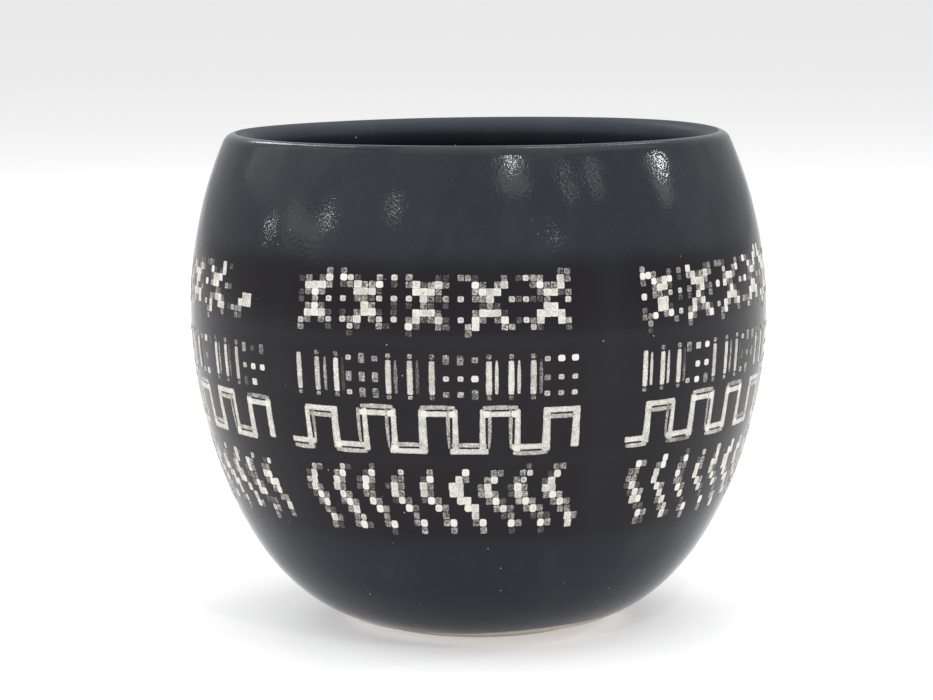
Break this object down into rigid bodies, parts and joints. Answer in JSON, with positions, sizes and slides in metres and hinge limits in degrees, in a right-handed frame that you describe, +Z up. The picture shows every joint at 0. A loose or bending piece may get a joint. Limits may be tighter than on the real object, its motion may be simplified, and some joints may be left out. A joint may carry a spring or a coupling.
{
  "type": "plant pot",
  "caption": "Round stoneware plant pot with a wide mouth and a small foot, dark satin glaze in and out, and stamped bands of pale geometric slip round its belly.",
  "frame": {"origin": "centre of the foot ring, on the plane the pot stands on", "axes": "+Z up along the pot's axis; the front panel of the pattern faces -Y, its middle turned a little towards -X"},
  "size_m": [0.15, 0.15, 0.1273],
  "materials": {
    "bare_clay": "matte, unglazed",
    "outer_glaze": "satin, fine orange peel",
    "inner_glaze": "satin",
    "pale_slip": "matte, worn"
  },
  "bodies": {
    "root": {"clay_body": "bare_clay", "inner_glaze": "inner_glaze", "outer_glaze": "outer_glaze", "slip_crosses_1": "pale_slip", "slip_bars_1": "pale_slip", "slip_meander_1": "pale_slip", "slip_chevrons_1": "pale_slip", "slip_crosses_2": "pale_slip", "slip_bars_2": "pale_slip", "slip_meander_2": "pale_slip", "slip_chevrons_2": "pale_slip", "slip_crosses_3": "pale_slip", "slip_bars_3": "pale_slip", "slip_meander_3": "pale_slip", "slip_chevrons_3": "pale_slip", "slip_crosses_4": "pale_slip", "slip_bars_4": "pale_slip", "slip_meander_4": "pale_slip", "slip_chevrons_4": "pale_slip", "slip_crosses_5": "pale_slip", "slip_bars_5": "pale_slip", "slip_meander_5": "pale_slip", "slip_chevrons_5": "pale_slip"}
  },
  "joints": []
}
